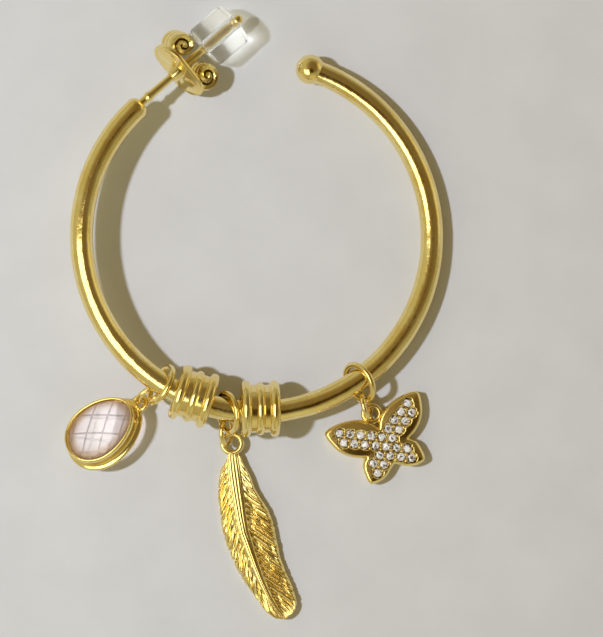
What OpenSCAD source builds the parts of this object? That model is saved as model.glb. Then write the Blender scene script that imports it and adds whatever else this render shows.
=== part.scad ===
/* [Hoop] */
// Outer diameter of the hoop
hoop_d = 36; // [32:0.5:44]
// Thickness of the hoop's wire
wire_d = 2.2; // [1.8:0.05:2.4]
// Angle of the hoop's post end, counted from the right
post_end_angle = 131.2; // [125:0.5:136]
// Angle that the hoop's wire turns through
hoop_arc = 301.3; // [295:0.5:306]
// Diameter of the ball that closes the wire's free end
ball_d = 2.85; // [2.6:0.05:3.4]
// Rounding at the wire's post end
end_round = 0.85; // [0.6:0.05:1]
// Angle by which the wire stops short of the post's foot
wire_back = 2.5; // [1.5:0.1:3]
// Lean of the lying hoop, down towards its right side
hoop_lean = 4.6; // [4.2:0.1:5.2]
// Direction in which the hoop leans down
lean_direction = 9.1; // [0:0.5:20]
// Place of the hoop's centre, across
hoop_x = 0.22; // [-2:0.01:2]
// Place of the hoop's centre, along
hoop_y = 7.47; // [6:0.01:10]

/* [Ear post] */
// Diameter of the post
post_d = 0.8; // [0.6:0.05:0.85]
// Length of the post from the hoop's end
post_l = 12.8; // [12.2:0.1:13.4]
// Thinning of the post's radius from its bare part to the groove
post_taper = 0.01; // [0.005:0.005:0.03]
// Diameter of the post's tip
tip_d = 0.94; // [0.86:0.02:1]
// How far the post sits outside the middle of the hoop's wire
post_out = 0.08; // [0:0.01:0.2]
// Depth of the groove near the tip
groove_depth = 0.1; // [0.05:0.01:0.15]
// Width of the groove
groove_w = 0.35; // [0.2:0.05:0.5]
// Distance of the groove from the tip's end
groove_from_tip = 1.5; // [1.2:0.1:2]
// Diameter of the solder bead at the post's foot
solder_d = 1.0; // [0.95:0.05:1.1]
// Distance of the solder bead from the hoop's end
solder_at = 0.95; // [0.7:0.05:1.5]

/* [Clutch] */
// Distance of the clutch plate from the hoop's end
clutch_at = 4.8; // [4.4:0.1:5]
// Gap all round between the post's tip and what slides over it
slide_gap = 0.05; // [0.04:0.01:0.08]
// Length of the clutch plate
plate_l = 6.4; // [6:0.1:6.6]
// Width of the clutch plate
plate_w = 4.0; // [3.7:0.1:4.2]
// Thickness of the clutch plate
plate_t = 0.4; // [0.35:0.05:0.5]
// Lean of the clutch plate on the post
clutch_lean = 20; // [14:1:22]
// Lean of the scrolls on the post
scroll_lean = 6; // [2:1:8]
// Roll of the clutch about the post, left side up
clutch_roll = 24; // [15:1:25]
// Length of the collar in front of the plate
collar_l = 0.95; // [0.8:0.05:1.2]
// Diameter of the collar at the plate
collar_d = 1.7; // [1.6:0.1:2]
// Diameter of the collar's mouth
mouth_d = 1.4; // [1.3:0.05:1.5]
// Outer diameter of each scroll
scroll_d = 2.9; // [2.6:0.1:3]
// Distance of each scroll's middle from the post
scroll_off = 2.0; // [1.98:0.02:2.1]
// Width of the scrolled strips
scroll_w = 2.4; // [2.2:0.1:2.5]
// Thickness of the scrolled strips
scroll_t = 0.3; // [0.25:0.01:0.34]
// How much narrower the scroll gets with each half turn
scroll_step = 0.36; // [0.33:0.01:0.38]
// Height of the ribs along the strips
rib_h = 0.1; // [0.06:0.01:0.12]
// Number of ribs along the strips
rib_count = 4; // [2:1:4]
// Outer diameter of the clear tube
tube_d = 4.4; // [4:0.1:4.5]
// Length of the clear tube
tube_l = 4.0; // [3.6:0.1:4.2]
// Gap between the scrolls and the clear tube
tube_gap = 0.12; // [0.05:0.01:0.3]
// Rounding of the clear tube's edges
tube_round = 0.45; // [0.2:0.05:0.6]

/* [Spacer beads] */
// Largest diameter of a spacer bead
bead_d = 5.45; // [5.2:0.05:5.5]
// Length of a spacer bead
bead_l = 3.7; // [3.5:0.05:3.8]
// Bore of a spacer bead
bead_bore = 3.2; // [3.15:0.05:3.3]
// Diameter of the bead's valleys
bead_valley_d = 4.6; // [4.3:0.05:4.8]
// Diameter of the ring round the bead's middle
bead_mid_d = 5.1; // [5:0.05:5.2]
// Width of each end ridge
ridge_w = 0.95; // [0.8:0.05:1.05]
// Angle of the left bead on the hoop
bead_left_angle = 248.2; // [246:0.1:249]
// Angle of the right bead on the hoop
bead_right_angle = 270.7; // [270:0.1:273]
// How far the beads sit inside the wire's middle
bead_in = 0.33; // [0.2:0.01:0.35]
// How far the right bead sits above the wire's middle
bead_right_rise = 0.26; // [0.22:0.01:0.28]
// How far the left bead sits below the wire's middle
bead_left_sag = 0.15; // [0.05:0.01:0.18]
// Turn of the left bead out of the wire's direction
bead_left_turn = 3.5; // [0:0.5:4]

/* [Rings and links] */
// Outer diameter of the rings round the hoop
ring_d = 4.3; // [4.2:0.05:4.6]
// Thickness of the rings' wire
ring_wire = 0.6; // [0.5:0.05:0.65]
// Outer diameter of the small links
link_d = 2.9; // [2.8:0.05:3]
// Thickness of the links' wire
link_wire = 0.5; // [0.4:0.05:0.55]
// Gap kept between pieces that hook into each other
hook_gap = 0.1; // [0.08:0.01:0.12]

/* [Drop charm] */
// Length of the bezel's rim
drop_l = 7.55; // [7.3:0.05:8]
// Width of the bezel's rim
drop_w = 5.55; // [5.2:0.05:5.7]
// Height of the bezel
drop_h = 2.3; // [2:0.05:2.4]
// How much wider the bezel's far end is than its loop end
drop_egg = 0.12; // [0.05:0.01:0.2]
// Width of the bezel's rim
drop_rim = 0.55; // [0.45:0.05:0.6]
// How far the bezel's wall spreads towards its foot
drop_spread = 0.36; // [0.2:0.01:0.4]
// Lean of the lying charm, up towards its right side
drop_lean = 19; // [15:1:20]
// Distance of the bezel's foot from the middle of the charm's loop
drop_from_loop = 0.26; // [0.24:0.02:0.5]
// How far the loop sits to the left of the bezel's middle line
drop_across = 0.15; // [0:0.05:0.3]
// Outer diameter of the charm's loop
drop_loop_d = 1.75; // [1.7:0.05:1.9]
// Thickness of the loop's wire
drop_loop_wire = 0.45; // [0.4:0.05:0.5]
// Height of the charm's loop above the surface
drop_loop_z = 1.12; // [1.05:0.01:1.15]
// Thickness of the stone at its middle
stone_t = 3.0; // [2.8:0.05:3.2]
// Gap between the stone and the bezel
stone_gap = 0.06; // [0.04:0.01:0.1]
// Side of one facet of the stone
facet_side = 1.75; // [1.5:0.05:1.9]
// Angle of the facets' edges from the stone's length
facet_angle = 37; // [34:1:40]
// How fast the stone's faces fall away along its length
facet_fall = 0.06; // [0.05:0.005:0.07]

/* [Feather charm] */
// Length of the feather from its loop's middle to its tip
feather_l = 17.7; // [16:0.1:19]
// Largest width of the feather
feather_w = 4.75; // [4.2:0.05:5.2]
// Thickness of the feather along its quill
feather_t = 1.2; // [1.1:0.05:1.4]
// Thickness of the feather's edge
feather_edge_t = 0.55; // [0.5:0.05:0.7]
// Height of the raised barbs
barb_h = 0.18; // [0.1:0.02:0.24]
// Number of barbs on each side
barb_count = 26; // [20:1:30]
// How far the barbs slant towards the tip
barb_slant = 0.1; // [0.06:0.01:0.12]
// Outer diameter of the feather's loop
feather_loop_d = 2.35; // [2.25:0.05:2.4]
// Thickness of the loop's wire
feather_loop_wire = 0.52; // [0.45:0.01:0.55]
// Height of the feather's loop above the surface
feather_loop_z = 0.9; // [0.8:0.01:0.95]

/* [Butterfly charm] */
// Span of the butterfly's wings
butterfly_w = 10; // [9.8:0.1:11]
// Length of the butterfly from its upper wings to its lower ones
butterfly_l = 6.8; // [6.7:0.05:7.4]
// Thickness of the butterfly
butterfly_t = 1.5; // [1.4:0.05:1.8]
// Width of the polished rim round the stones
rim_w = 0.36; // [0.3:0.02:0.38]
// Depth of the stone field below the rim
field_depth = 0.35; // [0.25:0.05:0.4]
// Diameter of each small stone
pave_d = 0.86; // [0.7:0.02:0.88]
// Distance between neighbouring small stones
pave_pitch = 1.0; // [1:0.01:1.02]
// Distance between neighbouring rows of small stones
pave_row = 0.9; // [0.88:0.01:0.92]
// Outer diameter of the butterfly's loop
butterfly_loop_d = 2.1; // [2:0.05:2.15]
// Thickness of the loop's wire
butterfly_loop_wire = 0.5; // [0.45:0.01:0.55]
// Height of the charm's loop above the surface
butterfly_loop_z = 0.88; // [0.85:0.01:0.95]

/* [Hidden] */
$fn = 64;
gold = "gold";
clear = [0.85, 0.9, 0.92, 0.5];
hoop_r = (hoop_d - wire_d) / 2;
hoop_z = wire_d / 2 + hoop_r * sin(hoop_lean);
ring_r = (ring_d - ring_wire) / 2;
link_r = (link_d - link_wire) / 2;
link_hole_r = link_r - link_wire / 2;
sliver = 0.01;
foot_lift = 0.03;
stone_share = 0.55;
girdle_lift = 0.02;

// Turns of a direction about the axes, and from the hoop's own plane to the leaning one
function turn_x(v, a) = [v.x, v.y * cos(a) - v.z * sin(a), v.y * sin(a) + v.z * cos(a)];
function turn_y(v, a) = [v.x * cos(a) + v.z * sin(a), v.y, v.z * cos(a) - v.x * sin(a)];
function turn_z(v, a) = [v.x * cos(a) - v.y * sin(a), v.x * sin(a) + v.y * cos(a), v.z];
function leaning(v) = turn_z(turn_y(turn_z(v, -lean_direction), hoop_lean), lean_direction);
function from_hoop(v) = [hoop_x, hoop_y, hoop_z] + leaning(v);

// Each charm's chain: where its ring sits on the hoop, how the ring turns and leans there,
// at which point of the ring the link hooks in, and how the link and the charm lie
COL_ANGLE = 0;
COL_YAW = 1;
COL_LEAN = 2;
COL_OUT = 3;
COL_SAG = 4;
COL_HOOK = 5;
COL_LINK_DIR = 6;
COL_LINK_ROLL = 7;
COL_LINK_Z = 8;
COL_CHARM_DIR = 9;
DROP =      [236.9,   4.0, 20.6, 0.10, 0.25, 53.4, 212.6, 25.1, 0.08, 219.0];
FEATHER =   [260.1,  17.9, 25.2, 0.31, 0.20, 34.7, 268.1, 24.2, 0.04, 286.6];
BUTTERFLY = [305.0, -10.1, 31.9, 0.27, -0.07, 12.1, 285.7, 14.0, 0.06, 294.2];

// Place of a point of the ring's own frame: x outwards, y along the hoop's wire, z up
function ring_point(chain, v) =
    from_hoop(turn_z(
        [hoop_r, 0, -chain[COL_SAG]]
            + turn_z([chain[COL_OUT], 0, 0] + turn_x(v, -chain[COL_LEAN]), chain[COL_YAW]),
        chain[COL_ANGLE]));
function hook_point(chain) =
    ring_point(chain, [ring_r * cos(chain[COL_HOOK]), 0, -ring_r * sin(chain[COL_HOOK])]);

// Directions in the link's plane, and the reach from the link's middle to what it holds
function link_along(chain) = [cos(chain[COL_LINK_DIR]), sin(chain[COL_LINK_DIR]), 0];
function link_up(chain) =
    turn_z([0, -sin(chain[COL_LINK_ROLL]), cos(chain[COL_LINK_ROLL])], chain[COL_LINK_DIR]);
function reach(held_wire) = link_hole_r - held_wire / 2 - hook_gap;
function link_middle_z(chain) =
    link_wire / 2 + link_r * cos(chain[COL_LINK_ROLL]) + chain[COL_LINK_Z];
function flat_part(r, rise) = sqrt(max(sliver, r * r - rise * rise));
function link_middle(chain) =
    let (hook = hook_point(chain))
    let (rise = (hook.z - link_middle_z(chain)) / cos(chain[COL_LINK_ROLL]))
    hook + flat_part(reach(ring_wire), rise) * link_along(chain) - rise * link_up(chain);
function loop_middle(chain, loop_d, loop_wire, loop_z) =
    let (middle = link_middle(chain))
    let (drop = (middle.z - loop_z) / cos(chain[COL_LINK_ROLL]))
    let (held = middle + flat_part(reach(loop_wire), drop) * link_along(chain)
        - drop * link_up(chain))
    held + (loop_d - loop_wire) / 2 * [cos(chain[COL_CHARM_DIR]), sin(chain[COL_CHARM_DIR]), 0];

module wire_ring(outer, wire) {
    rotate_extrude() translate([(outer - wire) / 2, 0]) circle(d = wire);
}

// Puts what it holds into the plane of the lying hoop
module in_hoop_plane() {
    translate([hoop_x, hoop_y, hoop_z])
        rotate([0, 0, lean_direction])
            rotate([0, hoop_lean, 0])
                rotate([0, 0, -lean_direction])
                    children();
}

// Puts what it holds on the hoop's wire: x outwards, y along the wire, z up
module on_wire(angle) {
    in_hoop_plane() rotate([0, 0, angle]) translate([hoop_r, 0, 0]) children();
}

// Puts what it holds on the post's line: z along the post, away from the hoop
module on_post(distance) {
    on_wire(post_end_angle) translate([post_out, 0, 0]) rotate([90, 0, 0])
        translate([0, 0, distance]) children();
}

module wire_end() {
    rotate_extrude() {
        square([wire_d / 2 - end_round, end_round]);
        intersection() {
            translate([wire_d / 2 - end_round, 0]) circle(r = end_round);
            square([wire_d, end_round]);
        }
    }
}

module post_profile() {
    groove_z = post_l - groove_from_tip;
    bare_z = clutch_at - collar_l - slide_gap;
    difference() {
        union() {
            translate([0, -wire_d / 2]) square([post_d / 2, bare_z + wire_d / 2]);
            polygon([
                [0, bare_z], [post_d / 2, bare_z],
                [post_d / 2 - post_taper, groove_z], [0, groove_z]
            ]);
            translate([0, groove_z]) square([tip_d / 2, groove_from_tip - tip_d / 2]);
            intersection() {
                translate([0, post_l - tip_d / 2]) circle(d = tip_d);
                square([tip_d, post_l]);
            }
        }
        translate([post_d / 2 - groove_depth, groove_z - groove_w / 2]) square([tip_d, groove_w]);
    }
}

// The hoop: wire, ball end, rounded post end and the soldered post
module hoop() {
    color(gold) {
        in_hoop_plane()
            rotate([0, 0, post_end_angle + wire_back])
                rotate_extrude(angle = hoop_arc - wire_back)
                    translate([hoop_r, 0]) circle(d = wire_d);
        on_wire(post_end_angle + hoop_arc) sphere(d = ball_d);
        on_wire(post_end_angle + wire_back) rotate([90, 0, 0]) wire_end();
        on_post(0) rotate_extrude() post_profile();
        on_post(solder_at) sphere(d = solder_d);
    }
}

module spacer_bead() {
    bore_r = bead_bore / 2;
    ridge_r = ridge_w / 2;
    color(gold) rotate([90, 0, 0]) rotate_extrude() {
        difference() {
            union() {
                translate([bore_r, -bead_l / 2 + ridge_r])
                    square([bead_valley_d / 2 - bore_r, bead_l - ridge_w]);
                for (side = [-1, 1]) translate([0, side * (bead_l / 2 - ridge_r)]) {
                    translate([bead_d / 2 - ridge_r, 0]) circle(r = ridge_r);
                    translate([bore_r, -ridge_r])
                        square([bead_d / 2 - ridge_r - bore_r, ridge_w]);
                }
                translate([bore_r, -ridge_r / 2])
                    square([bead_mid_d / 2 - ridge_r / 2 - bore_r, ridge_r]);
                translate([bead_mid_d / 2 - ridge_r / 2, 0]) circle(r = ridge_r / 2);
            }
            translate([0, -bead_l]) square([bore_r, 2 * bead_l]);
        }
    }
}

module spacer_bead_left() {
    on_wire(bead_left_angle) translate([-bead_in, 0, -bead_left_sag])
        rotate([0, 0, bead_left_turn]) spacer_bead();
}

module spacer_bead_right() {
    on_wire(bead_right_angle) translate([-bead_in, 0, bead_right_rise]) spacer_bead();
}

// Puts what it holds on the clutch: x across the plate, y along it, z along the post
module on_clutch() {
    on_post(clutch_at) rotate([0, 0, clutch_roll - 90]) children();
}

module clutch_plate() {
    end_off = (plate_l - plate_w) / 2;
    translate([0, 0, -plate_t / 2]) {
        for (side = [-1, 1]) translate([0, side * end_off, 0]) cylinder(h = plate_t, d = plate_w);
        translate([-plate_w / 2, -end_off, 0]) cube([plate_w, 2 * end_off, plate_t]);
    }
}

// One bent stretch of the scrolled strip, ribbed along its outer face
module coil(r, start, end, ribbed) {
    rib_pitch = scroll_w / rib_count;
    rib_w = rib_pitch / 2;
    rotate([0, 0, start]) rotate_extrude(angle = end - start) {
        translate([r - scroll_t, -scroll_w / 2]) square([scroll_t, scroll_w]);
        if (ribbed) for (k = [0 : rib_count - 1])
            translate([r - sliver, (k + 0.5) * rib_pitch - scroll_w / 2 - rib_w / 2])
                square([rib_h + sliver, rib_w]);
    }
}

// A strip rolled up in half turns, each narrower than the last and meeting it end to end
module clutch_scroll() {
    outer_r = scroll_d / 2 - rib_h;
    half_turns = [for (k = [0 : 2]) [-70 + 180 * k, 110 + 180 * k]];
    function middle(k) = k == 0 ? [0, 0] :
        middle(k - 1) + scroll_step * [cos(half_turns[k][0]), sin(half_turns[k][0])];
    rotate([90, 0, 90]) for (k = [0 : 2])
        translate(concat(middle(k), [0]))
            coil(outer_r - k * scroll_step, half_turns[k][0], half_turns[k][1], k == 0);
}

// The clutch's metal nut: plate, collar and two ribbed scrolls, with a hole for the post
module clutch_nut() {
    hole_d = tip_d + 2 * slide_gap;
    color(gold) on_clutch() difference() {
        union() {
            rotate([0, clutch_lean, 0]) clutch_plate();
            rotate([0, scroll_lean, 0]) for (side = [0, 1]) mirror([0, side, 0])
                translate([0, scroll_off, scroll_d / 2]) clutch_scroll();
            translate([0, 0, -collar_l]) cylinder(h = collar_l, d1 = mouth_d, d2 = collar_d);
        }
        translate([0, 0, -2 * collar_l]) cylinder(h = scroll_d + 3 * collar_l, d = hole_d);
    }
}

// The clutch's clear tube, which grips the post behind the scrolls
module clutch_tube() {
    tube_at = clutch_at + scroll_d + scroll_w / 2 * sin(scroll_lean) + tube_gap;
    color(clear) on_post(tube_at) rotate_extrude() difference() {
        union() {
            square([tube_d / 2 - tube_round, tube_l]);
            translate([0, tube_round]) square([tube_d / 2, tube_l - 2 * tube_round]);
            for (z = [tube_round, tube_l - tube_round])
                translate([tube_d / 2 - tube_round, z]) circle(r = tube_round);
        }
        translate([0, -tube_l]) square([tip_d / 2 + slide_gap, 3 * tube_l]);
    }
}

module hoop_ring(chain) {
    color(gold)
        on_wire(chain[COL_ANGLE])
            translate([0, 0, -chain[COL_SAG]])
                rotate([0, 0, chain[COL_YAW]])
                    translate([chain[COL_OUT], 0, 0])
                        rotate([90 - chain[COL_LEAN], 0, 0])
                            wire_ring(ring_d, ring_wire);
}

module small_link(chain) {
    color(gold)
        translate(link_middle(chain))
            rotate([0, 0, chain[COL_LINK_DIR]])
                rotate([90 + chain[COL_LINK_ROLL], 0, 0])
                    wire_ring(link_d, link_wire);
}

// The drop's egg-shaped outline, one point for each turn about it, drawn in by an inset
function egg(turn, inset) =
    let (half_l = drop_l / 2 - inset)
    let (half_w = drop_w / 2 - inset)
    [drop_l / 2 - half_l * cos(turn), half_w * sin(turn) * (1 - drop_egg * cos(turn))];

// The bezel's section: how far each corner lies inside the foot's outline, and its height
function bezel_section() = [
    [0, 0],
    [0, drop_h * 0.12],
    [drop_spread * 0.6, drop_h * 0.55],
    [drop_spread, drop_h * 0.86],
    [drop_spread + drop_rim * 0.3, drop_h],
    [drop_spread + drop_rim * 0.7, drop_h],
    [drop_spread + drop_rim, drop_h * 0.86],
    [drop_spread + drop_rim, drop_h * 0.1],
    [drop_spread + drop_rim * 0.8, 0]
];

// A closed loft: the section carried round the egg-shaped outline
module bezel_wall() {
    section = bezel_section();
    around = 44;
    n = len(section);
    points = [
        for (i = [0 : around - 1]) for (corner = section)
            let (p = egg(360 * i / around, corner[0] - drop_spread)) [p.x, p.y, corner[1]]
    ];
    faces = [
        for (i = [0 : around - 1]) for (j = [0 : n - 1])
            let (a = i * n + j)
            let (b = i * n + (j + 1) % n)
            let (c = ((i + 1) % around) * n + (j + 1) % n)
            let (d = ((i + 1) % around) * n + j)
            each [[a, d, c], [a, c, b]]
    ];
    polyhedron(points, faces);
}

// Lays the drop charm on its lower edge, leaning up towards its right side
function drop_foot() = (drop_w / 2 + drop_spread) * sin(drop_lean) + foot_lift;
module lay_drop() {
    place = loop_middle(DROP, drop_loop_d, drop_loop_wire, drop_loop_z);
    translate([place.x, place.y, drop_foot()])
        rotate([0, 0, DROP[COL_CHARM_DIR]])
            rotate([drop_lean, 0, 0])
                children();
}

module drop_bezel() {
    loop_z = (drop_loop_z - drop_foot()) / cos(drop_lean);
    color(gold) lay_drop() {
        translate([drop_from_loop + drop_spread, drop_across, 0]) bezel_wall();
        translate([0, 0, loop_z]) wire_ring(drop_loop_d, drop_loop_wire);
    }
}

// The stone's facets lie on a slanted net and fall away from its middle on both faces
module facet_cuts() {
    step_x = facet_side * cos(facet_angle);
    step_y = facet_side * sin(facet_angle);
    fall_y = facet_fall * pow(step_x / step_y, 2);
    big = drop_l;
    for (m = [-4 : 4]) for (n = [-3 : 3]) if ((m + n) % 2 != 0) {
        x = m * step_x;
        y = n * step_y;
        if (pow(x / drop_l, 2) + pow(y / drop_w, 2) < 0.3) {
            slope = [2 * facet_fall * x, 2 * fall_y * y];
            top = stone_t / 2 - facet_fall * (x * x + step_x * step_x) - fall_y * y * y;
            steep = atan(norm(slope));
            way = atan2(slope.y, slope.x);
            translate([x, y, top])
                rotate([0, 0, way])
                    rotate([0, steep, 0])
                        translate([-big, -big, 0]) cube([2 * big, 2 * big, big]);
        }
    }
}

module drop_stone() {
    around = 44;
    inset = drop_rim + stone_gap;
    outline = [for (i = [0 : around - 1]) egg(360 * i / around, inset) - [drop_l / 2, 0]];
    middle = [drop_from_loop + drop_spread + drop_l / 2, drop_across, drop_h * stone_share];
    color(clear) lay_drop() translate(middle) difference() {
        linear_extrude(stone_t, center = true) polygon(outline);
        facet_cuts();
        mirror([0, 0, 1]) facet_cuts();
    }
}

// The feather's outline, as shares of its length and width: how far along, the left edge,
// the quill and the right edge
FEATHER_TABLE = [
    [0.050, -0.140, -0.045, 0.050],
    [0.080, -0.220, -0.070, 0.090],
    [0.125, -0.390, -0.100, 0.110],
    [0.200, -0.520, -0.145, 0.170],
    [0.270, -0.600, -0.185, 0.180],
    [0.330, -0.635, -0.215, 0.235],
    [0.400, -0.685, -0.250, 0.315],
    [0.485, -0.710, -0.280, 0.345],
    [0.570, -0.700, -0.265, 0.313],
    [0.680, -0.640, -0.245, 0.278],
    [0.770, -0.555, -0.215, 0.305],
    [0.860, -0.435, -0.165, 0.353],
    [0.940, -0.315, -0.080, 0.340],
    [0.985, -0.170, -0.010, 0.170],
    [1.000, -0.060, 0.000, 0.050]
];
LEFT = 1;
QUILL = 2;
RIGHT = 3;
function feather_at(share, column) =
    feather_w * lookup(share, [for (row = FEATHER_TABLE) [row[0], row[column]]]);

// Across the feather: places from the left edge over the quill to the right edge, with the
// height of the vane and of the barbs there
ACROSS = [-1, -0.82, -0.55, -0.3, -0.14, -0.07, 0, 0.07, 0.14, 0.3, 0.55, 0.82, 1];
function vane_height(v) =
    abs(v) < 0.01 ? 0.93 :
    abs(v) < 0.1 ? 1 :
    abs(v) < 0.2 ? 0.72 :
    0.8 - 0.35 * v * v;
function barb_mask(v) = abs(v) > 0.2 && abs(v) < 0.95 ? 1 : 0;

module feather_vane() {
    rows = 2 * barb_count + 1;
    neck = FEATHER_TABLE[0][0];
    neck_r = feather_loop_wire * 0.35;
    first = FEATHER_TABLE[1][0];
    columns = len(ACROSS);
    ring = columns + 2;
    function share(i, v) =
        let (t = max(0, (i - 1) / (rows - 1)))
        i == 0 ? neck : first + (1 - first) * (t + barb_slant * abs(v) * sin(180 * t));
    function place(i, v) =
        let (s = share(i, v))
        let (mid = feather_at(s, QUILL))
        let (edge = feather_at(s, v < 0 ? LEFT : RIGHT))
        [feather_l * s, i == 0 ? neck_r * v : mid + abs(v) * (edge - mid)];
    function height(i, v) =
        i == 0 ? feather_loop_z + neck_r * (0.9 - 0.5 * v * v) :
        feather_edge_t + (feather_t - feather_edge_t) * vane_height(v)
            - (i % 2 == 0 ? barb_h * barb_mask(v) : 0);
    function floor_z(i) = i == 0 ? feather_loop_z - neck_r * 0.8 : 0;
    points = [
        for (i = [0 : rows]) each concat(
            [for (v = ACROSS) let (p = place(i, v)) [p.x, p.y, height(i, v)]],
            [for (v = [1, -1]) let (p = place(i, v)) [p.x, p.y, floor_z(i)]])
    ];
    faces = concat(
        [[for (j = [ring - 1 : -1 : 0]) j]],
        [for (i = [0 : rows - 1]) for (j = [0 : ring - 1])
            let (a = i * ring + j)
            let (b = i * ring + (j + 1) % ring)
            each [[a, b, b + ring], [a, b + ring, a + ring]]],
        [[for (j = [0 : ring - 1]) rows * ring + j]]
    );
    polyhedron(points, faces);
}

module feather_charm() {
    place = loop_middle(FEATHER, feather_loop_d, feather_loop_wire, feather_loop_z);
    color(gold) translate([place.x, place.y, 0]) rotate([0, 0, FEATHER[COL_CHARM_DIR]]) {
        feather_vane();
        translate([0, 0, feather_loop_z]) wire_ring(feather_loop_d, feather_loop_wire);
    }
}

// Half of the butterfly's outline, as shares of its length and of half its span: corners
// and, between two corners, the point that the curve bends towards
WING_TABLE = [
    [0.22, 0], [0.06, 0.10], [0.0, 0.30],
    [-0.07, 0.55], [-0.058, 0.80], [-0.05, 0.98], [0.01, 1.0],
    [0.08, 1.0], [0.155, 0.965], [0.42, 0.88], [0.538, 0.46],
    [0.60, 0.60], [0.74, 0.60], [0.90, 0.625], [0.92, 0.54],
    [0.95, 0.32], [0.865, 0.16], [0.81, 0.07], [0.785, 0]
];
function bend(a, c, b, t) = (1 - t) * (1 - t) * a + 2 * t * (1 - t) * c + t * t * b;
function wing_side() = [
    for (k = [0 : 2 : len(WING_TABLE) - 3]) for (t = [0 : 0.2 : 0.8])
        bend(WING_TABLE[k], WING_TABLE[k + 1], WING_TABLE[k + 2], t)
];
module butterfly_outline() {
    side = [for (p = wing_side()) [p.x * butterfly_l, p.y * butterfly_w / 2]];
    last = [WING_TABLE[len(WING_TABLE) - 1].x * butterfly_l, 0];
    polygon(concat(side, [last],
        [for (i = [len(side) - 1 : -1 : 1]) [side[i].x, -side[i].y]]));
}

// Rows of small stones: the row's number from the middle, the first stone's step along
// the row and the number of stones
PAVE_TABLE = [[0, 0, 3], [1, -0.5, 4], [2, -1, 2], [2, 2, 2], [3, -1.5, 2], [4, -2, 2]];
field_middle = 0.365;
function pave_places() = [
    for (row = PAVE_TABLE) for (k = [0 : row[2] - 1]) for (side = row[0] == 0 ? [1] : [-1, 1])
        [butterfly_l * field_middle + (row[1] + k) * pave_pitch, side * row[0] * pave_row]
];

module lay_butterfly() {
    place = loop_middle(BUTTERFLY, butterfly_loop_d, butterfly_loop_wire, butterfly_loop_z);
    translate([place.x, place.y, 0]) rotate([0, 0, BUTTERFLY[COL_CHARM_DIR]]) children();
}

module butterfly_setting() {
    field_z = butterfly_t - field_depth;
    seat_depth = pave_d * 0.45;
    seat_r = pave_d * 0.54;
    seat_floor_r = pave_d * 0.1;
    color(gold) lay_butterfly() {
        difference() {
            linear_extrude(butterfly_t) butterfly_outline();
            translate([0, 0, field_z])
                linear_extrude(butterfly_t) offset(delta = -rim_w) butterfly_outline();
            for (p = pave_places()) translate([p.x, p.y, field_z]) {
                translate([0, 0, -seat_depth])
                    cylinder(h = seat_depth + sliver, r1 = seat_floor_r, r2 = seat_r);
                cylinder(h = butterfly_t, r = seat_r);
            }
        }
        translate([0, 0, butterfly_loop_z]) wire_ring(butterfly_loop_d, butterfly_loop_wire);
    }
}

// A small round stone: table, eight crown facets, girdle and eight pavilion facets
module cut_stone(d) {
    sides = 8;
    girdle_h = d * 0.06;
    crown_h = d * 0.2;
    pavilion_h = d * 0.36;
    table_r = d * 0.3;
    function ring(r, z, turn) =
        [for (k = [0 : sides - 1]) let (a = 360 * (k + turn) / sides) [r * cos(a), r * sin(a), z]];
    points = concat(
        ring(table_r, girdle_h + crown_h, 0.5),
        ring(d / 2, girdle_h, 0),
        ring(d / 2, 0, 0),
        [[0, 0, -pavilion_h]]
    );
    tip = 3 * sides;
    faces = concat(
        [[for (k = [sides - 1 : -1 : 0]) k]],
        [for (k = [0 : sides - 1]) [k, sides + (k + 1) % sides, sides + k]],
        [for (k = [0 : sides - 1]) [k, (k + 1) % sides, sides + (k + 1) % sides]],
        [for (k = [0 : sides - 1])
            [sides + k, sides + (k + 1) % sides, 2 * sides + (k + 1) % sides, 2 * sides + k]],
        [for (k = [0 : sides - 1]) [2 * sides + k, 2 * sides + (k + 1) % sides, tip]]
    );
    polyhedron(points, faces);
}

module butterfly_stones() {
    color(clear) lay_butterfly()
        for (p = pave_places())
            translate([p.x, p.y, butterfly_t - field_depth + girdle_lift]) cut_stone(pave_d);
}

hoop();
spacer_bead_left();
spacer_bead_right();
clutch_nut();
clutch_tube();
hoop_ring(DROP);  // drop_hoop_ring
small_link(DROP);  // drop_link
drop_bezel();
drop_stone();
hoop_ring(FEATHER);  // feather_hoop_ring
small_link(FEATHER);  // feather_link
feather_charm();
hoop_ring(BUTTERFLY);  // butterfly_hoop_ring
small_link(BUTTERFLY);  // butterfly_link
butterfly_setting();
butterfly_stones();
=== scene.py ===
"""A hoop charm earring lying on paper: a gold hoop with its ear post and clutch, two ribbed
spacer beads and three charms, a bezel-set stone, a feather and a stone-set butterfly."""
import itertools
import math

import bmesh
import bpy
import numpy as np
from mathutils import Matrix, Vector


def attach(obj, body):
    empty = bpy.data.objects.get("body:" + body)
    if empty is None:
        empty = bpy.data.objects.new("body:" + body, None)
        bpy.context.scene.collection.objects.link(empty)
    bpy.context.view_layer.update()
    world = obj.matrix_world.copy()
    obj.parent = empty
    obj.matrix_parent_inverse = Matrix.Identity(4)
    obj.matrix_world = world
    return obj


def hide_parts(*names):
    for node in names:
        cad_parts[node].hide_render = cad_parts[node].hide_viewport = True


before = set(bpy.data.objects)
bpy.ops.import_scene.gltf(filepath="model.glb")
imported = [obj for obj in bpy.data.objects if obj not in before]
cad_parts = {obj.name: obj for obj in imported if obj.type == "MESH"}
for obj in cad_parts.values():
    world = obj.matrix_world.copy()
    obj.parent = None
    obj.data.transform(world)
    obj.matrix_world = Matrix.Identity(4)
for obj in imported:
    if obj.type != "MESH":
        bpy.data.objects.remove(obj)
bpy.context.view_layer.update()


# The view and the light: the earring lies on pale paper and is seen from straight above. A small
# cool lamp on its left throws the shadows, a soft panel close by shines in its gold, and a dim
# warm room with two pale low windows fills the rest.
MM = 0.001
camera_data = bpy.data.cameras.new("camera")
camera_data.lens = 133.6
camera_data.clip_start = 0.01
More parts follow.
